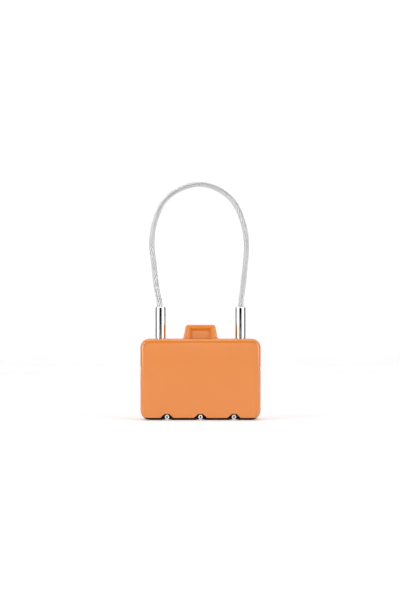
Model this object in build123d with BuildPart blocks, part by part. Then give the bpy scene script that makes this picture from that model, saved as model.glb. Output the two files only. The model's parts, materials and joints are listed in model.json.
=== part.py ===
"""Luggage combination padlock with a flexible steel cable shackle.

Millimetres. The wide front face looks along -Y and +Z is up. The origin is at the
bottom centre; the number wheels reach down to z = 0 and the black base starts above.
"""

import os
from math import radians, tan

from build123d import *

os.makedirs("parts", exist_ok=True)

# case
BODY_W = 38.0
BODY_T = 13.0
BODY_TOP = 25.8
BODY_BOTTOM = 0.15
CORNER_R = 3.0
FACE_EDGE_R = 1.3
WALL = 0.9
SHELL_BOTTOM = 0.8
LIP_TOP = 0.75
SEAM_DEPTH = 0.15
SEAM_HALF = 0.08

# moulded handle on the case
HANDLE_FOOT = 10.9
HANDLE_HEAD = 9.2
HANDLE_TOP = 30.15
HANDLE_HALF_T = 5.0
HANDLE_EDGE_R = 0.65
RECESS_DEPTH = 0.9
RECESS_MOUTH = (3.4, 3.5, 29.15)
RECESS_FLOOR = (2.6, 2.8, 28.3)

# number wheels
DIAL_PITCH = 10.6
DIAL_XS = {"left": -DIAL_PITCH, "middle": 0.0, "right": DIAL_PITCH}
DIAL_R = 4.6
DIAL_Z = 4.6
DIAL_HALF_W = 2.0
DIAL_BAND_HALF = 1.1
DIAL_BORE = 3.45
DIGITS = 10
READING_ANGLE = 234.0
NOTCH_FOOT = 4.2
NOTCH_HEAD = 1.4
NOTCH_TOP = 2.1

# core inside the case
CORE_HALF_W = 18.0
CORE_HALF_T = 5.5
CORE_R = 2.0
BASE_TOP = 9.6
FRAME_FOOT = 9.7
FRAME_TOP = 24.8
POCKET_R = 4.75
POCKET_HALF_W = 2.15
POCKET_SHOULDER_R = 4.15
POCKET_BAND_HALF = 1.25
SLOT_HALF_W = 1.4
SLOT_TOP = 0.45
DISC_POCKET_R = 3.75
DISC_POCKET_END = 5.4
SPINDLE_R = 1.2
SPINDLE_BORE = 1.25
SPACER_R = 1.8

# cable shackle and its ends
SHACKLE_X = 12.7
FERRULE_R = 1.7
PIN_R = 1.4
FERRULE_FOOT = 25.85
FERRULE_TOP = 35.8
CABLE_FOOT = 31.0
JACKET_R = 0.95
JACKET_BORE = 0.87
ROPE_R = 0.85
SLEEVE_BORE = 0.98
SLEEVE_MOUTH = 1.15
CRIMP_DEPTH = 2.0

# latch
LATCH_HALF_T = 0.75
LATCH_Z0 = 10.2
LATCH_Z1 = 12.6
NOSE_Z0 = 20.7
NOSE_Z1 = 21.7

BOSS_XZ = {
    "upper_left": (-16.2, 22.0),
    "upper_right": (16.2, 22.0),
    "lower_left": (-16.2, 14.8),
    "lower_right": (16.2, 14.8),
}
CORE_SCREW_XZ = {"left": (-5.0, 17.5), "right": (2.0, 17.5)}
CLICK_SCREW_XY = {"left": (-3.7, 4.1), "right": (6.9, 4.1)}


def block(x0, x1, y0, y1, z0, z1, mode=Mode.ADD):
    """Rectangular block between the given limits."""
    with Locations(((x0 + x1) / 2, (y0 + y1) / 2, (z0 + z1) / 2)):
        Box(x1 - x0, y1 - y0, z1 - z0, mode=mode)


def rod_x(radius, x0, x1, y, z, mode=Mode.ADD):
    """Round rod along X."""
    with Locations(Location(((x0 + x1) / 2, y, z), (0, 90, 0))):
        Cylinder(radius, x1 - x0, mode=mode)


def rod_y(radius, y0, y1, x, z, mode=Mode.ADD):
    """Round rod along Y."""
    with Locations(Location((x, (y0 + y1) / 2, z), (90, 0, 0))):
        Cylinder(radius, abs(y1 - y0), mode=mode)


def rod_z(radius, z0, z1, x, y, mode=Mode.ADD):
    """Round rod along Z."""
    with Locations((x, y, (z0 + z1) / 2)):
        Cylinder(radius, z1 - z0, mode=mode)


def draw_body():
    """Front outline of the case, for a sketch in the XZ plane."""
    with Locations((0, (BODY_TOP + BODY_BOTTOM) / 2)):
        RectangleRounded(BODY_W, BODY_TOP - BODY_BOTTOM, CORNER_R)


def handle_outline():
    """Face of the handle with its flared foot, in the XZ plane."""
    foot = HANDLE_FOOT / 2
    head = HANDLE_HEAD / 2
    flange = foot + 2.0
    low = BODY_TOP - 1.5
    corners = [(-flange, low), (-flange, BODY_TOP), (-foot, BODY_TOP), (-head, HANDLE_TOP)]
    corners += [(-x, z) for x, z in reversed(corners)]
    with BuildSketch(Plane.XZ) as outline:
        Polygon(*corners, align=None)
        points = outline.vertices()
        heads = points.filter_by(lambda v: v.Z > HANDLE_TOP - 0.1 or v.Y > HANDLE_TOP - 0.1)
        fillet(heads, 0.9)
        feet = outline.vertices().filter_by(
            lambda v: abs(abs(v.X) - foot) < 0.01 and abs(max(v.Y, v.Z) - BODY_TOP) < 0.01
        )
        fillet(feet, 0.5)
    return outline.sketch


def notch_outline(x, foot_z):
    """Notch over one number wheel, in the XZ plane, open below foot_z."""
    foot = NOTCH_FOOT / 2
    head = NOTCH_HEAD / 2
    flange = foot + 0.8
    low = foot_z - 1.5
    corners = [(x - flange, low), (x - flange, foot_z), (x - foot, foot_z), (x - head, NOTCH_TOP)]
    corners += [(2 * x - u, z) for u, z in reversed(corners)]
    with BuildSketch(Plane.XZ) as outline:
        Polygon(*corners, align=None)
        rounded = outline.vertices().filter_by(lambda v: abs(v.X - x) < foot + 0.01)
        rounded = rounded.filter_by(lambda v: max(v.Y, v.Z) > foot_z - 0.01)
        fillet(rounded, 0.3)
    return outline.sketch


# ---------------------------------------------------------------- case halves
for side, place in ((-1, "front"), (1, "rear")):
    with BuildPart() as shell:
        extrude(handle_outline(), amount=-side * HANDLE_HALF_T)
        handle_face = shell.faces().filter_by(lambda f: abs(f.center().Y - side * HANDLE_HALF_T) < 0.01)
        fillet(handle_face.edges(), HANDLE_EDGE_R)
        with BuildSketch(Plane.XZ):
            draw_body()
        extrude(amount=-side * BODY_T / 2)
        wide_face = shell.faces().filter_by(lambda f: abs(f.center().Y - side * BODY_T / 2) < 0.01)
        fillet(wide_face.edges(), FACE_EDGE_R)
        # shallow recess with sloped walls that leaves the handle's bars standing
        for level, outline in ((0, RECESS_MOUTH), (RECESS_DEPTH, RECESS_FLOOR)):
            head, foot, top = outline
            with BuildSketch(Plane.XZ.offset(-side * (HANDLE_HALF_T - level))):
                Polygon((-foot, BODY_TOP), (-head, top), (head, top), (foot, BODY_TOP), align=None)
        loft(ruled=True, mode=Mode.SUBTRACT)
        # cavity, open at the bottom between the round corners
        inner_top = BODY_TOP - WALL
        inner_foot = BODY_BOTTOM + WALL
        with BuildSketch(Plane.XZ) as cavity:
            with Locations((0, (inner_top + inner_foot) / 2)):
                RectangleRounded(BODY_W - 2 * WALL, inner_top - inner_foot, CORNER_R - WALL)
        extrude(cavity.sketch, amount=-side * (BODY_T / 2 - WALL), mode=Mode.SUBTRACT)
        depth = sorted((0, side * (BODY_T / 2 - WALL)))
        block(CORNER_R - BODY_W / 2, BODY_W / 2 - CORNER_R, *depth, -1, 2, mode=Mode.SUBTRACT)
        block(-20, 20, -7, 7, -1, SHELL_BOTTOM, mode=Mode.SUBTRACT)
        hollow = sorted((0, side * 3.0))
        block(-3.6, 3.6, *hollow, inner_top - 0.5, HANDLE_TOP - 1.2, mode=Mode.SUBTRACT)
        for x in DIAL_XS.values():
            extrude(notch_outline(x, SHELL_BOTTOM), amount=-side * 8, mode=Mode.SUBTRACT)
        for x in (-SHACKLE_X, SHACKLE_X):
            rod_z(PIN_R + 0.1, inner_top - 1, BODY_TOP + 1, x, 0, mode=Mode.SUBTRACT)
        rod_x(0.95, -BODY_W / 2 - 1, -BODY_W / 2 + 2, 0, DIAL_Z, mode=Mode.SUBTRACT)
        # fine groove along the outside of the seam
        with BuildSketch(Plane.XZ) as seam:
            draw_body()
            add(handle_outline())
            offset(amount=-SEAM_DEPTH, kind=Kind.INTERSECTION, mode=Mode.SUBTRACT)
        extrude(seam.sketch, amount=-side * SEAM_HALF, mode=Mode.SUBTRACT)
        # hollow bosses that take the dowels
        for x, z in BOSS_XZ.values():
            rod_y(1.4, 0, side * (BODY_T / 2 - WALL + 0.2), x, z)
        for x, z in BOSS_XZ.values():
            rod_y(0.75, 0, side * 2.6, x, z, mode=Mode.SUBTRACT)
    shell.part.label = f"shell_{place}"
    export_step(shell.part, f"parts/shell_{place}.step")

for place, (x, z) in BOSS_XZ.items():
    with BuildPart() as dowel:
        rod_y(0.75, -2.5, 2.5, x, z)
        chamfer(dowel.edges().filter_by(GeomType.CIRCLE), 0.15)
    dowel.part.label = f"dowel_{place}"
    export_step(dowel.part, f"parts/dowel_{place}.step")

# ---------------------------------------------------------------- black base
with BuildPart() as core_base:
    with BuildSketch(Plane.XZ):
        draw_body()
    extrude(amount=BODY_T / 2, both=True)
    outer_faces = core_base.faces().filter_by(lambda f: abs(abs(f.center().Y) - BODY_T / 2) < 0.01)
    fillet(outer_faces.edges(), FACE_EDGE_R)
    block(-20, 20, -7, 7, LIP_TOP, 40, mode=Mode.SUBTRACT)
    block(-15.9, 15.9, -CORE_HALF_T, CORE_HALF_T, 0.4, 2.0)
    block_foot = BODY_BOTTOM + WALL + 0.1
    with BuildSketch(Plane.XZ) as tub:
        with Locations((0, (block_foot + BASE_TOP + 6) / 2)):
            RectangleRounded(2 * CORE_HALF_W, BASE_TOP + 6 - block_foot, CORE_R)
        with Locations((0, BASE_TOP + 10)):
            Rectangle(60, 20, mode=Mode.SUBTRACT)
    extrude(tub.sketch, amount=CORE_HALF_T, both=True)
    for x in DIAL_XS.values():
        # wheel pocket that follows the wheel's bevelled rim, and is open above it
        with BuildSketch(Plane.XZ) as pocket_profile:
            Polygon(
                (x - POCKET_HALF_W, DIAL_Z),
                (x - POCKET_HALF_W, DIAL_Z + POCKET_SHOULDER_R),
                (x - POCKET_BAND_HALF, DIAL_Z + POCKET_R),
                (x + POCKET_BAND_HALF, DIAL_Z + POCKET_R),
                (x + POCKET_HALF_W, DIAL_Z + POCKET_SHOULDER_R),
                (x + POCKET_HALF_W, DIAL_Z),
                align=None,
            )
        revolve(pocket_profile.sketch, axis=Axis((0, 0, DIAL_Z), (1, 0, 0)), mode=Mode.SUBTRACT)
        pocket = (x - POCKET_HALF_W, x + POCKET_HALF_W, -POCKET_R, POCKET_R)
        block(*pocket, DIAL_Z, BASE_TOP + 1, mode=Mode.SUBTRACT)
        # slot for the wheel's band, which widens into the finger notches
        with BuildSketch(Plane.XZ) as slot_outline:
            left_side = [(x - SLOT_HALF_W, -1), (x - SLOT_HALF_W, SLOT_TOP)]
            left_side += [(x - NOTCH_FOOT / 2, SHELL_BOTTOM), (x - NOTCH_HEAD / 2, NOTCH_TOP)]
            Polygon(*left_side, *[(2 * x - u, z) for u, z in reversed(left_side)], align=None)
        extrude(slot_outline.sketch, amount=BODY_T, both=True, mode=Mode.SUBTRACT)
        # pocket for the gate disc and the latch's tongue
        disc_end = min(x + DISC_POCKET_END, 16.2)
        rod_x(DISC_POCKET_R, x, disc_end, 0, DIAL_Z, mode=Mode.SUBTRACT)
        tongue_pocket = (x, disc_end, -DISC_POCKET_R, DISC_POCKET_R)
        block(*tongue_pocket, DIAL_Z, BASE_TOP + 1, mode=Mode.SUBTRACT)
    # open slots for the spacers between the wheels
    rod_x(SPACER_R + 0.1, -DIAL_PITCH, DIAL_PITCH, 0, DIAL_Z, mode=Mode.SUBTRACT)
    slot = (-DIAL_PITCH, DIAL_PITCH, -SPACER_R - 0.1, SPACER_R + 0.1)
    block(*slot, DIAL_Z, BASE_TOP + 1, mode=Mode.SUBTRACT)
    rod_x(SPINDLE_BORE, -19, 19, 0, DIAL_Z, mode=Mode.SUBTRACT)
    rod_x(2.1, 16, 17.4, 0, DIAL_Z, mode=Mode.SUBTRACT)
    for x, y in CLICK_SCREW_XY.values():
        rod_z(1.1, 9.1, BASE_TOP + 1, x, y, mode=Mode.SUBTRACT)
core_base.part.label = "core_base"
export_step(core_base.part, "parts/core_base.step")

# ---------------------------------------------------------------- core frame halves
for side, place in ((-1, "front"), (1, "rear")):
    with BuildPart() as frame:
        with BuildSketch(Plane.XZ) as outline:
            with Locations((0, (FRAME_FOOT - 6 + FRAME_TOP) / 2)):
                RectangleRounded(2 * CORE_HALF_W, FRAME_TOP - FRAME_FOOT + 6, CORE_R)
            with Locations((0, FRAME_FOOT - 10)):
                Rectangle(60, 20, mode=Mode.SUBTRACT)
        extrude(outline.sketch, amount=-side * CORE_HALF_T)
        bore = PIN_R + 0.1
        rod_z(bore, 15.3, FRAME_TOP + 1, SHACKLE_X, 0, mode=Mode.SUBTRACT)
        rod_z(bore, 17.8, FRAME_TOP + 1, -SHACKLE_X, 0, mode=Mode.SUBTRACT)
        # channel for the latch, its spring and its tongues
        channel = LATCH_HALF_T + 0.1
        block(-15.9, 15.9, -channel, channel, LATCH_Z0 - 0.1, LATCH_Z1 + 0.1, mode=Mode.SUBTRACT)
        rod_x(1.3, -17.6, -13.4, 0, 11.4, mode=Mode.SUBTRACT)
        for x in DIAL_XS.values():
            block(x + 2.0, x + 5.3, -channel, channel, FRAME_FOOT - 1, LATCH_Z0, mode=Mode.SUBTRACT)
        block(5.95, 10.35, -channel, channel, LATCH_Z0, NOSE_Z1 + 0.15, mode=Mode.SUBTRACT)
        block(5.95, 12.5, -channel, channel, NOSE_Z0 - 0.15, NOSE_Z1 + 0.15, mode=Mode.SUBTRACT)
        # slot for the clip that holds the fixed end
        block(-14.95, -10.45, -2.45, 2.45, 20.15, 21.05, mode=Mode.SUBTRACT)
        for x, z in BOSS_XZ.values():
            rod_y(1.55, 0, side * 6, x, z, mode=Mode.SUBTRACT)
        for x, z in CORE_SCREW_XZ.values():
            if side < 0:
                rod_y(0.85, 0, -6, x, z, mode=Mode.SUBTRACT)
                rod_y(1.5, -4.6, -6, x, z, mode=Mode.SUBTRACT)
            else:
                rod_y(0.8, 0, 4.1, x, z, mode=Mode.SUBTRACT)
        if side > 0:
            block(-14.6, 14.6, 2.2, 5.3, FRAME_FOOT - 1, 10.0, mode=Mode.SUBTRACT)
            for x, y in CLICK_SCREW_XY.values():
                rod_z(0.5, FRAME_FOOT, 12.6, x, y, mode=Mode.SUBTRACT)
    frame.part.label = f"core_frame_{place}"
    export_step(frame.part, f"parts/core_frame_{place}.step")

for place, (x, z) in CORE_SCREW_XZ.items():
    with BuildPart() as screw:
        rod_y(0.8, -4.6, 4.0, x, z)
        rod_y(1.4, -5.4, -4.6, x, z)
        block(x - 1.5, x + 1.5, -5.6, -5.0, z - 0.17, z + 0.17, mode=Mode.SUBTRACT)
    screw.part.label = f"core_screw_{place}"
    export_step(screw.part, f"parts/core_screw_{place}.step")

# ---------------------------------------------------------------- number wheels
RIDGE_ANGLE = 360 / DIGITS
for place, x in DIAL_XS.items():
    with BuildPart() as dial_ring:
        with BuildSketch(Plane.XZ) as profile:
            Polygon(
                (x - DIAL_HALF_W, DIAL_Z + DIAL_BORE),
                (x - DIAL_HALF_W, DIAL_Z + DIAL_R - 0.6),
                (x - DIAL_BAND_HALF, DIAL_Z + DIAL_R),
                (x + DIAL_BAND_HALF, DIAL_Z + DIAL_R),
                (x + DIAL_HALF_W, DIAL_Z + DIAL_R - 0.6),
                (x + DIAL_HALF_W, DIAL_Z + DIAL_BORE),
                align=None,
            )
        revolve(profile.sketch, axis=Axis((0, 0, DIAL_Z), (1, 0, 0)))
        # click grooves between the digits
        face = Plane((x - 3, 0, DIAL_Z), x_dir=(0, 1, 0), z_dir=(1, 0, 0))
        with BuildSketch(face) as grooves:
            with PolarLocations(DIAL_R + 0.12, DIGITS, start_angle=READING_ANGLE + RIDGE_ANGLE / 2):
                Circle(0.25)
        extrude(grooves.sketch, amount=6, mode=Mode.SUBTRACT)
        # inner ridges that the hub's teeth engage
        face = Plane((x - DIAL_HALF_W, 0, DIAL_Z), x_dir=(0, 1, 0), z_dir=(1, 0, 0))
        with BuildSketch(face) as ridges:
            with PolarLocations(3.3, DIGITS):
                Rectangle(0.6, 0.75)
        extrude(ridges.sketch, amount=1.2)
    dial_ring.part.label = f"dial_ring_{place}"
    export_step(dial_ring.part, f"parts/dial_ring_{place}.step")

    with BuildPart() as dial_hub:
        rod_x(2.95, x - 1.5, x, 0, DIAL_Z)
        rod_x(3.4, x - 0.75, x + 0.95, 0, DIAL_Z)
        rod_x(2.2, x, x + 4.0, 0, DIAL_Z)
        rod_x(3.6, x + 3.4, x + 4.2, 0, DIAL_Z)
        face = Plane((x - 1.5, 0, DIAL_Z), x_dir=(0, 1, 0), z_dir=(1, 0, 0))
        with BuildSketch(face) as teeth:
            with PolarLocations(3.0, DIGITS, start_angle=RIDGE_ANGLE / 2):
                Rectangle(0.78, 0.95)
        extrude(teeth.sketch, amount=0.6)
        rod_x(SPINDLE_BORE, x - 2, x + 5, 0, DIAL_Z, mode=Mode.SUBTRACT)
        # gate that the latch's tongue drops into
        block(x + 3.3, x + 4.3, -0.9, 0.9, DIAL_Z + 2.3, DIAL_Z + 4, mode=Mode.SUBTRACT)
    dial_hub.part.label = f"dial_hub_{place}"
    export_step(dial_hub.part, f"parts/dial_hub_{place}.step")

# ---------------------------------------------------------------- reset spindle
with BuildPart() as spindle:
    rod_x(SPINDLE_R, -CORE_HALF_W, 16.6, 0, DIAL_Z)
    chamfer(spindle.edges().filter_by(GeomType.CIRCLE), 0.2)
    rod_x(SPINDLE_R + 1, -12.65, -12.15, 0, DIAL_Z, mode=Mode.SUBTRACT)
    rod_x(SPINDLE_R + 1, 14.85, 15.35, 0, DIAL_Z, mode=Mode.SUBTRACT)
    rod_x(0.9, -12.75, -12.05, 0, DIAL_Z)
    rod_x(0.9, 14.75, 15.45, 0, DIAL_Z)
spindle.part.label = "reset_spindle"
export_step(spindle.part, "parts/reset_spindle.step")

for place, x0, radius in (("left", -12.65, 2.0), ("right", 14.85, 1.8)):
    with BuildPart() as clip:
        rod_x(radius, x0, x0 + 0.5, 0, DIAL_Z)
        rod_x(0.9, x0 - 1, x0 + 1, 0, DIAL_Z, mode=Mode.SUBTRACT)
        block(x0 - 1, x0 + 1, -0.7, 0.7, DIAL_Z, DIAL_Z + 3, mode=Mode.SUBTRACT)
    clip.part.label = f"spindle_clip_{place}"
    export_step(clip.part, f"parts/spindle_clip_{place}.step")

for place in ("left", "middle"):
    x = DIAL_XS[place]
    with BuildPart() as spacer:
        rod_x(SPACER_R, x + 4.25, x + 9.05, 0, DIAL_Z)
        rod_x(SPINDLE_BORE, x, x + 10, 0, DIAL_Z, mode=Mode.SUBTRACT)
    spacer.part.label = f"spacer_{place}"
    export_step(spacer.part, f"parts/spacer_{place}.step")


def coil(radius, wire, x0, x1, z, turns):
    """Wire of a compression spring along X, with the given mean radius."""
    with BuildPart() as wound:
        with BuildLine():
            spiral = Helix((x1 - x0) / turns, x1 - x0, radius, center=(x0, 0, z), direction=(1, 0, 0))
        with BuildSketch(Plane(spiral @ 0, z_dir=spiral % 0)):
            Circle(wire)
        sweep(path=spiral)
    return wound.part


with BuildPart() as reset_spring:
    add(coil(1.6, 0.12, 15.5, 17.25, DIAL_Z, 3))
reset_spring.part.label = "reset_spring"
export_step(reset_spring.part, "parts/reset_spring.step")

with BuildPart() as latch_spring:
    add(coil(0.85, 0.14, -17.4, -13.7, 11.4, 5))
latch_spring.part.label = "latch_spring"
export_step(latch_spring.part, "parts/latch_spring.step")

# ---------------------------------------------------------------- latch
with BuildPart() as latch_plate:
    thick = (-LATCH_HALF_T, LATCH_HALF_T)
    block(-13.5, 15.75, *thick, LATCH_Z0, LATCH_Z1)
    for x in DIAL_XS.values():
        block(x + 4.35, x + 5.15, *thick, DIAL_Z + 2.4, LATCH_Z0 + 0.5)
    block(8.3, 10.2, *thick, LATCH_Z1 - 0.5, NOSE_Z1)
    block(8.3, SHACKLE_X - 0.95, *thick, NOSE_Z0, NOSE_Z1)
latch_plate.part.label = "latch_plate"
export_step(latch_plate.part, "parts/latch_plate.step")


def turned(x, profile):
    """Turned piece on a vertical axis at x, from its (radius, height) profile."""
    with BuildPart() as piece:
        with BuildSketch(Plane.XZ) as half:
            Polygon(*[(x + radius, z) for radius, z in profile], align=None)
        revolve(half.sketch, axis=Axis((x, 0, 0), (0, 0, 1)))
    return piece.part


# sleeve that is crimped on the cable, the same at both ends
SLEEVE = [
    (PIN_R, FERRULE_FOOT),
    (FERRULE_R - 0.1, FERRULE_FOOT),
    (FERRULE_R, FERRULE_FOOT + 0.1),
    (FERRULE_R, FERRULE_TOP - 0.25),
    (FERRULE_R - 0.25, FERRULE_TOP),
    (SLEEVE_MOUTH, FERRULE_TOP),
    (SLEEVE_BORE, FERRULE_TOP - CRIMP_DEPTH),
    (SLEEVE_BORE, CABLE_FOOT),
    (0, CABLE_FOOT),
]
FREE_PIN = [(0, 15.85), (0.6, 15.85), (PIN_R, 16.9), (PIN_R, 17.45), (0.9, 20.6), (0.9, 21.8), (PIN_R, 21.8)]
FIXED_PIN = [(0, 18.2), (1.1, 18.2), (PIN_R, 18.5), (PIN_R, 20.2), (1.0, 20.2), (1.0, 21.0), (PIN_R, 21.0)]

with BuildPart() as free_ferrule:
    add(turned(SHACKLE_X, FREE_PIN + SLEEVE))
free_ferrule.part.label = "free_ferrule"
export_step(free_ferrule.part, "parts/free_ferrule.step")

with BuildPart() as fixed_ferrule:
    add(turned(-SHACKLE_X, FIXED_PIN + SLEEVE))
fixed_ferrule.part.label = "fixed_ferrule"
export_step(fixed_ferrule.part, "parts/fixed_ferrule.step")

with BuildPart() as fixed_end_clip:
    block(-SHACKLE_X - 2.1, -SHACKLE_X + 2.1, -2.2, 2.2, 20.25, 20.95)
    rod_z(1.05, 20, 21.2, -SHACKLE_X, 0, mode=Mode.SUBTRACT)
    block(-SHACKLE_X - 1.05, -SHACKLE_X + 1.05, -3, 0, 20, 21.2, mode=Mode.SUBTRACT)
fixed_end_clip.part.label = "fixed_end_clip"
export_step(fixed_end_clip.part, "parts/fixed_end_clip.step")

# ---------------------------------------------------------------- click spring
with BuildPart() as click_spring:
    block(-14.0, 14.0, 3.0, 5.2, 9.72, 9.92)
    for x in DIAL_XS.values():
        with BuildSketch(Plane.YZ.offset(x - 1.0)) as finger:
            Polygon(
                (3.1, 9.92), (3.1, 9.72), (1.9, 9.12), (1.3, 9.15), (1.3, 9.35), (1.95, 9.33), align=None
            )
        extrude(finger.sketch, amount=2.0)
    for x, y in CLICK_SCREW_XY.values():
        rod_z(0.55, 9, 10.5, x, y, mode=Mode.SUBTRACT)
click_spring.part.label = "click_spring"
export_step(click_spring.part, "parts/click_spring.step")

for place, (x, y) in CLICK_SCREW_XY.items():
    with BuildPart() as click_screw:
        rod_z(0.5, 9.5, 12.4, x, y)
        rod_z(0.9, 9.25, 9.72, x, y)
        block(x - 1, x + 1, y - 0.15, y + 0.15, 9.0, 9.45, mode=Mode.SUBTRACT)
    click_screw.part.label = f"click_screw_{place}"
    export_step(click_screw.part, f"parts/click_screw_{place}.step")

# ---------------------------------------------------------------- cable
ROUTE_XZ = [
    (SHACKLE_X, CABLE_FOOT),
    (SHACKLE_X, 36.2),
    (13.45, 41.3),
    (14.25, 48.9),
    (14.85, 56.5),
    (13.25, 64.2),
    (9.9, 70.6),
    (3.2, 74.7),
    (-3.6, 74.7),
    (-10.9, 70.9),
    (-14.25, 64.5),
    (-15.8, 56.5),
    (-14.75, 48.9),
    (-14.0, 41.3),
    (-SHACKLE_X, 36.2),
    (-SHACKLE_X, CABLE_FOOT),
]
ROUTE = [(x, 0, z) for x, z in ROUTE_XZ]
BEND_SHARE = 0.45


def bend_radii(points):
    """Radius of the tangent arc at every inner point of a route."""
    found = []
    for before, here, after in zip(points, points[1:], points[2:]):
        run_in = Vector(*here) - Vector(*before)
        run_out = Vector(*after) - Vector(*here)
        half_turn = radians(run_in.get_angle(run_out)) / 2
        found.append(BEND_SHARE * min(run_in.length, run_out.length) / tan(half_turn))
    return found


BENDS = bend_radii(ROUTE)
print("cable bend radii, mm:", [round(bend, 2) for bend in BENDS])

with BuildPart() as cable_strands:
    with BuildLine() as route:
        FilletPolyline(*ROUTE, radius=BENDS)
    with BuildSketch(Plane(ROUTE[0], z_dir=(0, 0, 1))):
        Circle(ROPE_R)
    sweep(path=route.wire())
cable_strands.part.label = "cable_strands"
export_step(cable_strands.part, "parts/cable_strands.step")

with BuildPart() as cable_jacket:
    with BuildLine() as route:
        FilletPolyline(*ROUTE, radius=BENDS)
    with BuildSketch(Plane(ROUTE[0], z_dir=(0, 0, 1))):
        Circle(JACKET_R)
        Circle(JACKET_BORE, mode=Mode.SUBTRACT)
    sweep(path=route.wire())
cable_jacket.part.label = "cable_jacket"
export_step(cable_jacket.part, "parts/cable_jacket.step")

print("cable length, mm:", round(route.wire().length, 2))
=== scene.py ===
"""Looks of the luggage padlock: cable, number wheels' digits, materials, light and camera."""

import json
from math import cos, pi, radians, sin

import bmesh
import bpy
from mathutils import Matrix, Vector


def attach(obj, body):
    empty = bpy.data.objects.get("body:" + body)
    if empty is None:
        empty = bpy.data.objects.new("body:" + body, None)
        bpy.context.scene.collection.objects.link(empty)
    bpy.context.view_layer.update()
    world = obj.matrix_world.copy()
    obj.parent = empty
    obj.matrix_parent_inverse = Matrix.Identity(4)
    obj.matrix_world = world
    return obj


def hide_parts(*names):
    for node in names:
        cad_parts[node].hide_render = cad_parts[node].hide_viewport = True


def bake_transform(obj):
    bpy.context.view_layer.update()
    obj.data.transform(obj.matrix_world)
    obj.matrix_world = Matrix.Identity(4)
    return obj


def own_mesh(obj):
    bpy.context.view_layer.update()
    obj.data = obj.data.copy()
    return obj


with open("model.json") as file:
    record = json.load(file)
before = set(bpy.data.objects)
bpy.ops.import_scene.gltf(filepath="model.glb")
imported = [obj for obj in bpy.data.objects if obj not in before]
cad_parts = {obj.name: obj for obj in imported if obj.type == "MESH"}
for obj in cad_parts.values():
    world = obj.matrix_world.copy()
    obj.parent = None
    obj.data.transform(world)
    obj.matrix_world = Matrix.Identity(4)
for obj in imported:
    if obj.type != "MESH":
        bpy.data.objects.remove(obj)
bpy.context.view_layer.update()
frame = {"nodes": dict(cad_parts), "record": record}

NODES = frame["nodes"]
MM = 0.001

# ------------------------------------------------------------------ camera
EYE_Y = -0.7165
EYE_Z = 0.0378
LENS = 135
SENSOR = 36


def make_camera():
    data = bpy.data.cameras.new("camera")
    data.sensor_fit = "VERTICAL"
    data.sensor_height = SENSOR
    data.lens = LENS
    camera = bpy.data.objects.new("camera", data)
    camera.location = (0, EYE_Y, EYE_Z)
    camera.rotation_euler = (radians(90), 0, 0)
    bpy.context.scene.collection.objects.link(camera)
    bpy.context.scene.camera = camera


make_camera()
bpy.context.scene.view_settings.view_transform = "Standard"


def mesh_object(name, verts, faces, smooth=True):
    data = bpy.data.meshes.new(name)
    data.from_pydata(verts, [], faces)
    data.validate()
    data.polygons.foreach_set("use_smooth", [smooth] * len(data.polygons))
    obj = bpy.data.objects.new(name, data)
    bpy.context.scene.collection.objects.link(obj)
    return obj


# ------------------------------------------------------------------ cable
SHACKLE_X = 12.7
CABLE_FOOT = 31.0
ROUTE = [
    (SHACKLE_X, CABLE_FOOT),
    (SHACKLE_X, 36.2),
    (13.45, 41.3),
    (14.25, 48.9),
    (14.85, 56.5),
    (13.25, 64.2),
    (9.9, 70.6),
    (3.2, 74.7),
    (-3.6, 74.7),
    (-10.9, 70.9),
    (-14.25, 64.5),
    (-15.8, 56.5),
    (-14.75, 48.9),
    (-14.0, 41.3),
    (-SHACKLE_X, 36.2),
    (-SHACKLE_X, CABLE_FOOT),
]


def route_line():
    """Smooth centreline of the cable, as points in metres from the free end to the fixed one."""
    data = bpy.data.curves.new("route", "CURVE")
    data.dimensions = "3D"
    data.resolution_u = 24
    spline = data.splines.new("NURBS")
    spline.points.add(len(ROUTE) - 1)
    for point, (x, z) in zip(spline.points, ROUTE):
        point.co = (x * MM, 0, z * MM, 1)
    spline.order_u = 3
    spline.use_endpoint_u = True
    holder = bpy.data.objects.new("route", data)
    bpy.context.scene.collection.objects.link(holder)
    bpy.context.view_layer.update()
    line = bpy.data.meshes.new_from_object(holder)
    points = [v.co.copy() for v in line.vertices]
    bpy.data.objects.remove(holder)
    bpy.data.meshes.remove(line)
    return points


def evenly(points, step):
    """Stations along a line every step metres: (distance, point, tangent)."""
    reach = [0.0]
    for a, b in zip(points, points[1:]):
        reach.append(reach[-1] + (b - a).length)
    count = max(2, round(reach[-1] / step))
    stations = []
    i = 0
    for k in range(count + 1):
        s = reach[-1] * k / count
        while i < len(points) - 2 and reach[i + 1] < s:
            i += 1
        gap = max(reach[i + 1] - reach[i], 1e-12)
        place = points[i].lerp(points[i + 1], (s - reach[i]) / gap)
        stations.append((s, place))
    found = []
    for k, (s, place) in enumerate(stations):
        before = stations[max(k - 1, 0)][1]
        after = stations[min(k + 1, count)][1]
        found.append((s, place, (after - before).normalized()))
    return found


ACROSS = Vector((0, 1, 0))


def around(tangent, angle):
    """Unit direction across the cable, at an angle about it."""
    return ACROSS * cos(angle) + tangent.cross(ACROSS) * sin(angle)


def skin(rings):
    """Closed tube through rings of points: its vertices and faces."""
    sides = len(rings[0])
    verts = [p for ring in rings for p in ring]
    faces = []
    for k in range(len(rings) - 1):
        low = k * sides
        for j in range(sides):
            following = (j + 1) % sides
            faces.append((low + j, low + following, low + sides + following, low + sides + j))
    faces.append(tuple(reversed(range(sides))))
    last = (len(rings) - 1) * sides
    faces.append(tuple(range(last, last + sides)))
    return verts, faces


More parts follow.
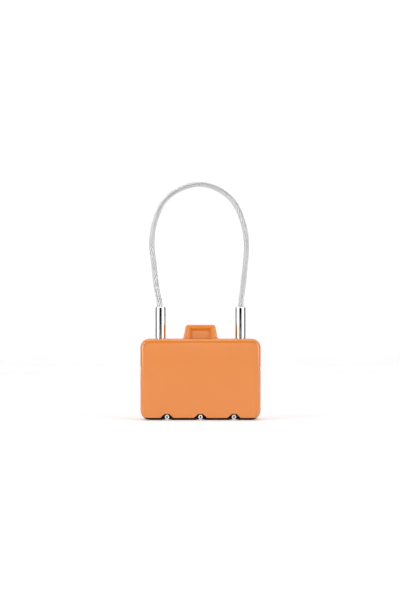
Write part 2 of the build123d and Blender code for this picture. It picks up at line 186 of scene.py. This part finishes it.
LINE = route_line()
CABLE_D = 1.9 * MM
STRANDS = 6
STRAND_LAY = 9.0 * MM
STRAND_R = 0.262 * MM
STRAND_HELIX_R = 0.590 * MM
WIRES = 6
WIRE_LAY = 3.4 * MM
WIRE_GROOVE = 0.020 * MM
CORE_R = 0.30 * MM
STRAND_SIDES = 24
CORE_SIDES = 12
SLEEVE_SIDES = 48
SLEEVE_FLUTE = 0.05 * MM
STEEL, CORE_SHADE_SLOT, VALLEY_SHADE_SLOT = range(3)
# Strand faces nearer the cable's axis than this radius take the dark steel: painted shade between
# the strands.
VALLEY_SHADE_R = 0.71 * MM
STATIONS = evenly(LINE, 0.22 * MM)


def strand_angle(s, strand):
    return 2 * pi * (s / STRAND_LAY + strand / STRANDS)


def tube_along(centres, radii):
    """Tube through centres; radii holds each station's radius at every side."""
    rings = []
    sides = len(radii[0])
    for k, centre in enumerate(centres):
        ahead = centres[min(k + 1, len(centres) - 1)] - centres[max(k - 1, 0)]
        ahead.normalize()
        side = ahead.cross(ACROSS)
        if side.length < 0.2:
            side = ahead.cross(Vector((1, 0, 0)))
        side.normalize()
        up = side.cross(ahead)
        ring = []
        for j in range(sides):
            angle = 2 * pi * j / sides
            ring.append(centre + (side * cos(angle) + up * sin(angle)) * radii[k][j])
        rings.append(ring)
    return skin(rings)


def valley_faces(piece):
    """Material of a strand's faces: a dark steel down between the strands, as painted shade in
    the grooves, bright steel elsewhere.
    """
    verts, faces = piece
    found = []
    for face in faces:
        s, place, tangent = STATIONS[face[0] // STRAND_SIDES]
        middle = sum((verts[i] for i in face), Vector()) / len(face) - place
        middle -= tangent * middle.dot(tangent)
        found.append(VALLEY_SHADE_SLOT if middle.length < VALLEY_SHADE_R else STEEL)
    return found


def make_strands():
    """Core, and six strands laid right-handed round it, each fluted by its own wires."""
    verts = []
    faces = []
    owners = []

    def take(piece, found):
        start = len(verts)
        verts.extend(piece[0])
        faces.extend(tuple(start + i for i in face) for face in piece[1])
        owners.extend(found)

    # The core is nearly black: painted shade seen through the gaps between the strands.
    core = [[CORE_R] * CORE_SIDES] * len(STATIONS)
    piece = tube_along([place for s, place, tangent in STATIONS], core)
    take(piece, [CORE_SHADE_SLOT] * len(piece[1]))
    for strand in range(STRANDS):
        centres = []
        radii = []
        for s, place, tangent in STATIONS:
            centres.append(place + around(tangent, strand_angle(s, strand)) * STRAND_HELIX_R)
            turn = 2 * pi * s / WIRE_LAY
            waves = [cos(WIRES * (2 * pi * j / STRAND_SIDES - turn)) for j in range(STRAND_SIDES)]
            radii.append([STRAND_R - WIRE_GROOVE * (1 - wave) / 2 for wave in waves])
        piece = tube_along(centres, radii)
        take(piece, valley_faces(piece))
    obj = mesh_object("cable_wires", verts, faces)
    return obj, owners


def make_jacket():
    """Clear sleeve shrunk over the strands, so its surface is slightly fluted."""
    rings = []
    for s, place, tangent in STATIONS:
        ring = []
        for j in range(SLEEVE_SIDES):
            angle = 2 * pi * j / SLEEVE_SIDES
            flute = cos(STRANDS * (angle - strand_angle(s, 0)))
            radius = CABLE_D / 2 - SLEEVE_FLUTE * (1 - flute)
            ring.append(place + around(tangent, angle) * radius)
        rings.append(ring)
    return mesh_object("cable_sleeve", *skin(rings))


cable_wires, STRAND_LOOKS = make_strands()
cable_sleeve = make_jacket()
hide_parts("cable_strands")
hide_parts("cable_jacket")
for piece in (cable_wires, cable_sleeve):
    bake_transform(piece)

# ------------------------------------------------------------------ digits on the wheels
DIAL_XS = {"left": -10.6, "middle": 0.0, "right": 10.6}
DIAL_Z = 4.6
DIAL_R = 4.6
READING = 54.0
DIGIT_H = 2.3
DIGIT_W = 1.36
DIGIT_PROUD = 0.025
DIGIT_SUNK = 0.03
DIGIT_ROWS = 9
DIGIT_STEP = 36
NARROW = 0.35


def digit_mesh(digit):
    """Flat outline of one digit, centred, in millimetres: points and faces."""
    data = bpy.data.curves.new("digit", "FONT")
    data.body = str(digit)
    data.size = 3.0
    data.offset = 0.08
    data.resolution_u = 6
    holder = bpy.data.objects.new("digit", data)
    bpy.context.scene.collection.objects.link(holder)
    bpy.context.view_layer.update()
    flat = bpy.data.meshes.new_from_object(holder)
    points = [v.co.copy() for v in flat.vertices]
    faces = [tuple(p.vertices) for p in flat.polygons]
    bpy.data.objects.remove(holder)
    bpy.data.meshes.remove(flat)
    return points, faces


def fine_grid(points, faces):
    """The flat digit cut into narrow rows, so that it bends round the wheel."""
    work = bmesh.new()
    verts = [work.verts.new(p) for p in points]
    for face in faces:
        try:
            work.faces.new([verts[i] for i in face])
        except ValueError:
            pass
    bmesh.ops.remove_doubles(work, verts=work.verts, dist=1e-5)
    low = min(v.co.y for v in work.verts)
    high = max(v.co.y for v in work.verts)
    for k in range(1, DIGIT_ROWS):
        level = low + (high - low) * k / DIGIT_ROWS
        everything = work.verts[:] + work.edges[:] + work.faces[:]
        bmesh.ops.bisect_plane(work, geom=everything, plane_co=(0, level, 0), plane_no=(0, 1, 0))
    work.verts.ensure_lookup_table()
    out = [v.co.copy() for v in work.verts]
    index = {v: i for i, v in enumerate(work.verts)}
    cut = [tuple(index[v] for v in f.verts) for f in work.faces]
    rim = [tuple(index[v] for v in e.verts) for e in work.edges if len(e.link_faces) == 1]
    work.free()
    return out, cut, rim


def wrap_digits(place, x_mid):
    """The ten digits of one wheel, as thin pieces laid round its rim."""
    verts = []
    faces = []
    for digit in range(10):
        points, cut, rim = fine_grid(*digit_mesh(digit))
        xs = [p.x for p in points]
        ys = [p.y for p in points]
        wide = max(xs) - min(xs)
        tall = max(ys) - min(ys)
        grow_y = DIGIT_H / tall
        grow_x = DIGIT_W / wide if wide > NARROW * tall else grow_y
        mid_x = (max(xs) + min(xs)) / 2
        mid_y = (max(ys) + min(ys)) / 2
        start = len(verts)
        for radius in (DIAL_R - DIGIT_SUNK, DIAL_R + DIGIT_PROUD):
            for p in points:
                u = (p.x - mid_x) * grow_x
                v = (p.y - mid_y) * grow_y
                angle = radians(READING - DIGIT_STEP * digit) - v / DIAL_R
                spot = (x_mid + u, -radius * cos(angle), DIAL_Z - radius * sin(angle))
                verts.append(Vector(spot) * MM)
        count = len(points)
        faces.extend(tuple(start + count + i for i in face) for face in cut)
        faces.extend(tuple(start + i for i in reversed(face)) for face in cut)
        faces.extend((start + a, start + b, start + count + b, start + count + a) for a, b in rim)
    piece = mesh_object(f"digits_{place}", verts, faces, smooth=False)
    work = bmesh.new()
    work.from_mesh(piece.data)
    bmesh.ops.recalc_face_normals(work, faces=work.faces)
    work.to_mesh(piece.data)
    work.free()
    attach(piece, f"dial_{place}")
    return piece


# ------------------------------------------------------------------ springs copied onto the casing
def soft_copy(node):
    """A spring's own copy, hung on the casing; the original part is hidden."""
    piece = NODES[node].copy()
    piece.data = NODES[node].data.copy()
    piece.name = f"{node}_coil"
    bpy.context.scene.collection.objects.link(piece)
    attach(piece, "casing")
    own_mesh(piece)
    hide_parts(node)
    return piece


# ------------------------------------------------------------------ materials
SOCKETS = {
    "metallic": "Metallic",
    "alpha": "Alpha",
    "gloss": "Specular IOR Level",
    "coat": "Coat Weight",
    "coat_roughness": "Coat Roughness",
    "coat_ior": "Coat IOR",
    "glow": "Emission Strength",
}


class Shader:
    """A node material: a principled shader with procedural detail."""

    def __init__(self, name, color, **sockets):
        self.material = bpy.data.materials.new(name)
        self.material.use_nodes = True
        self.tree = self.material.node_tree
        self.shader = self.tree.nodes["Principled BSDF"]
        self.shader.inputs["Base Color"].default_value = (*color, 1)
        for socket, value in sockets.items():
            self.shader.inputs[SOCKETS[socket]].default_value = value
        self.color = color
        self.place = self.tree.nodes.new("ShaderNodeTexCoord").outputs["Object"]
        self.normal = None

    def link(self, a, b):
        self.tree.links.new(a, b)

    def noise(self, scale, detail=3.0, stretch=None):
        node = self.tree.nodes.new("ShaderNodeTexNoise")
        node.inputs["Scale"].default_value = scale
        node.inputs["Detail"].default_value = detail
        source = self.place
        if stretch:
            mapping = self.tree.nodes.new("ShaderNodeMapping")
            mapping.inputs["Scale"].default_value = stretch
            self.link(source, mapping.inputs["Vector"])
            source = mapping.outputs["Vector"]
        self.link(source, node.inputs["Vector"])
        return node.outputs["Fac"]

    def spread(self, fac, low, high, start=0.3, end=0.7):
        node = self.tree.nodes.new("ShaderNodeMapRange")
        node.inputs["From Min"].default_value = start
        node.inputs["From Max"].default_value = end
        node.inputs["To Min"].default_value = low
        node.inputs["To Max"].default_value = high
        self.link(fac, node.inputs["Value"])
        return node.outputs["Result"]

    def tint(self, fac, dark, light):
        """Base colour that varies between two shades of the colour."""
        node = self.tree.nodes.new("ShaderNodeMix")
        node.data_type = "RGBA"
        a, b = [s for s in node.inputs if s.type == "RGBA"][:2]
        mixed = [s for s in node.outputs if s.type == "RGBA"][0]
        a.default_value = (*[min(1, c * dark) for c in self.color], 1)
        b.default_value = (*[min(1, c * light) for c in self.color], 1)
        self.link(fac, node.inputs["Factor"])
        self.link(mixed, self.shader.inputs["Base Color"])
        return self

    def rough(self, fac, low, high):
        self.link(self.spread(fac, low, high), self.shader.inputs["Roughness"])
        return self

    def bump(self, fac, depth):
        node = self.tree.nodes.new("ShaderNodeBump")
        node.inputs["Strength"].default_value = 1.0
        node.inputs["Distance"].default_value = depth
        self.link(fac, node.inputs["Height"])
        if self.normal:
            self.link(self.normal, node.inputs["Normal"])
        self.normal = node.outputs["Normal"]
        self.link(self.normal, self.shader.inputs["Normal"])
        return self


def paint():
    """Glossy orange enamel with faint orange peel."""
    s = Shader(
        "orange_enamel",
        (0.705, 0.208, 0.021),
        gloss=0.22,
        coat=1.0,
        coat_roughness=0.06,
        coat_ior=1.65,
    )
    s.tint(s.noise(120), 0.975, 1.02)
    s.rough(s.noise(700), 0.30, 0.36)
    s.bump(s.noise(650, 2.0), 0.0000045)
    s.bump(s.noise(5200, 2.0), 0.0000006)
    return s.material


def black_plastic(name, level, low, high, grain):
    s = Shader(name, (level, level, level * 1.06), gloss=0.06)
    s.tint(s.noise(300), 0.8, 1.25)
    s.rough(s.noise(900), low, high)
    s.bump(s.noise(4200, 4.0), grain)
    return s.material


def chrome():
    s = Shader("bright_chrome", (0.82, 0.83, 0.845), metallic=1.0)
    s.tint(s.noise(200), 0.98, 1.01)
    s.rough(s.noise(900, 2.0, (1, 1, 0.08)), 0.035, 0.075)
    s.bump(s.noise(2600, 2.0, (1, 1, 0.05)), 0.0000002)
    return s.material


def steel(name, color, low, high, stretch, depth=0.0000012):
    s = Shader(name, color, metallic=1.0)
    s.tint(s.noise(500), 0.86, 1.06)
    s.rough(s.noise(3000, 4.0, stretch), low, high)
    s.bump(s.noise(5000, 3.0, stretch), depth)
    return s.material


def wire_steel():
    s = Shader("rope_wire", (0.93, 0.93, 0.935), metallic=0.9)
    s.tint(s.noise(900), 0.88, 1.08)
    s.rough(s.noise(2500, 3.0), 0.22, 0.34)
    s.bump(s.noise(9000, 2.0), 0.0000015)
    return s.material


# Half-clear grey film over the whole cable: its grey is painted shade, darkening the cable and
# its outline where a clear sleeve darkens them by refraction.
def clear_sleeve():
    s = Shader("clear_sleeve", (0.36, 0.36, 0.37), alpha=0.16, coat=0.5)
    s.tint(s.noise(400), 0.96, 1.03)
    s.rough(s.noise(1500), 0.14, 0.24)
    s.bump(s.noise(2400, 2.0), 0.000002)
    return s.material


# White digit paint that also glows, though it is no lamp: painted light that keeps the digits
# bright inside the shaded notches.
def digit_paint():
    s = Shader("digit_paint", (0.92, 0.92, 0.91), glow=0.5)
    s.shader.inputs["Emission Color"].default_value = (1, 1, 1, 1)
    s.tint(s.noise(900), 0.94, 1.03)
    s.rough(s.noise(1800), 0.42, 0.55)
    s.bump(s.noise(6000), 0.0000015)
    return s.material


EVEN = (1, 1, 1)
ROUND_X = (0.04, 1, 1)
ALONG_X = (0.05, 1, 1)
ALONG_Y = (1, 0.05, 1)
LOOKS = {
    "case_orange": paint(),
    "base_black": black_plastic("base_plastic", 0.006, 0.42, 0.56, 0.0000045),
    "frame_black": black_plastic("frame_plastic", 0.018, 0.45, 0.6, 0.0000045),
    "dial_black": black_plastic("wheel_plastic", 0.006, 0.26, 0.38, 0.0000015),
    "hub_zinc": steel("cast_zinc", (0.42, 0.42, 0.44), 0.38, 0.55, EVEN, 0.000004),
    "spindle_steel": steel("turned_steel", (0.62, 0.62, 0.64), 0.2, 0.34, ROUND_X),
    "spring_steel": steel("spring_wire", (0.55, 0.55, 0.57), 0.24, 0.38, EVEN),
    "spacer_brass": steel("turned_brass", (0.74, 0.53, 0.24), 0.22, 0.36, ROUND_X),
    "latch_steel": steel("stamped_steel", (0.56, 0.56, 0.58), 0.28, 0.42, ALONG_X),
    "ferrule_chrome": chrome(),
    "screw_steel": steel("screw_steel", (0.5, 0.5, 0.52), 0.25, 0.4, EVEN),
    "dowel_steel": steel("ground_steel", (0.62, 0.62, 0.64), 0.2, 0.34, ALONG_Y),
    "rope_steel": wire_steel(),
    # Dark steel on the strands' faces between them: painted shade in the grooves, not a finish of
    # the wire.
    "rope_valley_shade": steel("rope_valley_shade", (0.3, 0.3, 0.305), 0.4, 0.55, EVEN),
    # Nearly black rope core: painted shade in the gaps between the strands.
    "rope_core": black_plastic("rope_core", 0.02, 0.5, 0.7, 0.000002),
    "jacket_clear": clear_sleeve(),
    "digit_white_glow": digit_paint(),
}


def dress(obj, look):
    obj.data.materials.clear()
    obj.data.materials.append(LOOKS[look])


for sub in frame["record"]["subparts"]:
    dress(NODES[sub["node"]], sub["material_slot"])
dress(cable_wires, "rope_steel")
cable_wires.data.materials.append(LOOKS["rope_core"])
cable_wires.data.materials.append(LOOKS["rope_valley_shade"])
cable_wires.data.polygons.foreach_set("material_index", STRAND_LOOKS)
dress(cable_sleeve, "jacket_clear")
for place, x_mid in DIAL_XS.items():
    dress(wrap_digits(place, x_mid), "digit_white_glow")
dress(soft_copy("reset_spring"), "spring_steel")
dress(soft_copy("latch_spring"), "spring_steel")


# ------------------------------------------------------------------ studio
def stage_material(name, color, glow):
    material = bpy.data.materials.new(name)
    material.use_nodes = True
    shader = material.node_tree.nodes["Principled BSDF"]
    shader.inputs["Base Color"].default_value = (*color, 1)
    shader.inputs["Roughness"].default_value = 0.9
    shader.inputs["Specular IOR Level"].default_value = 0.1
    shader.inputs["Emission Color"].default_value = (1, 1, 1, 1)
    shader.inputs["Emission Strength"].default_value = glow
    return material


def sweep():
    """Pale floor that curves up into a backdrop."""
    half = 0.55
    bend = 0.30
    back = 0.85
    profile = [(-1.2, 0.0), (-0.3, 0.0), (0.1, 0.0), (back - bend, 0.0)]
    for k in range(1, 13):
        angle = pi / 2 * k / 12
        profile.append((back - bend + bend * sin(angle), bend - bend * cos(angle)))
    profile.append((back, 0.9))
    verts = [(x, y, z) for y, z in profile for x in (-half, half)]
    faces = [(2 * k, 2 * k + 1, 2 * k + 3, 2 * k + 2) for k in range(len(profile) - 1)]
    floor = mesh_object("floor", verts, faces)
    floor.data.materials.append(stage_material("paper", (0.9, 0.9, 0.9), 0.2))


def surround():
    """Pale background all round and far floor, seen by the camera only, so it adds no light."""
    steps = 48
    reach = 2.6
    rings = [(0.5, 0.0004), (reach, 0.0002), (reach, 2.0), (0.3, 3.2)]
    verts = []
    for radius, z in rings:
        for k in range(steps):
            angle = 2 * pi * k / steps
            verts.append((radius * cos(angle), radius * sin(angle), z))
    faces = []
    for row in range(len(rings) - 1):
        for k in range(steps):
            a = row * steps + k
            b = row * steps + (k + 1) % steps
            faces.append((a, b, b + steps, a + steps))
    last = (len(rings) - 1) * steps
    faces.append(tuple(range(last, last + steps)))
    obj = mesh_object("surround", verts, faces)
    obj.data.materials.append(stage_material("surround", (0.9, 0.9, 0.9), 0.75))
    obj.visible_diffuse = False
    obj.visible_glossy = False
    obj.visible_transmission = False
    obj.visible_shadow = False


def arc_card(name, start, end, reach, low, high, shade, glow):
    """Upright card bent round the object, seen in reflections; angles from -Y towards +X."""
    steps = 10
    verts = []
    for k in range(steps + 1):
        angle = radians(start + (end - start) * k / steps)
        for z in (low, high):
            verts.append((reach * sin(angle), -reach * cos(angle), z))
    faces = [(2 * k, 2 * k + 1, 2 * k + 3, 2 * k + 2) for k in range(steps)]
    obj = mesh_object(name, verts, faces)
    obj.data.materials.append(stage_material(name, (shade, shade, shade), glow))
    obj.visible_camera = False


def softbox(name, place, target, size, power):
    data = bpy.data.lights.new(name, "AREA")
    data.shape = "RECTANGLE"
    data.size, data.size_y = size
    data.energy = power
    light = bpy.data.objects.new(name, data)
    light.location = place
    direction = Vector(target) - Vector(place)
    light.rotation_euler = direction.to_track_quat("-Z", "Y").to_euler()
    light.visible_camera = False
    bpy.context.scene.collection.objects.link(light)


sweep()
surround()
arc_card("dark_card", -26, 26, 1.06, -0.02, 0.5, 0.01, 0.0)
arc_card("white_left", -78, -29, 1.15, 0.0, 0.26, 0.8, 1.3)
arc_card("white_right", 29, 74, 1.15, 0.0, 0.26, 0.8, 1.3)
arc_card("white_low", -2.8, 2.8, 1.04, 0.0, 0.0085, 0.8, 1.0)
arc_card("white_mid", -0.75, 0.75, 1.04, 0.0085, 0.021, 0.8, 0.5)
MIDDLE = (0, 0, 0.02)
softbox("strip_left", (-0.79, -0.62, 0.34), MIDDLE, (0.2, 0.9), 4.7)
softbox("strip_right", (0.79, -0.62, 0.34), MIDDLE, (0.2, 0.9), 4.1)
softbox("top", (0.0, 0.0, 0.95), MIDDLE, (1.0, 1.0), 4.6)

world = bpy.data.worlds.new("studio")
world.use_nodes = True
world.node_tree.nodes["Background"].inputs["Color"].default_value = (0.30, 0.30, 0.305, 1)
world.node_tree.nodes["Background"].inputs["Strength"].default_value = 1.0
bpy.context.scene.world = world
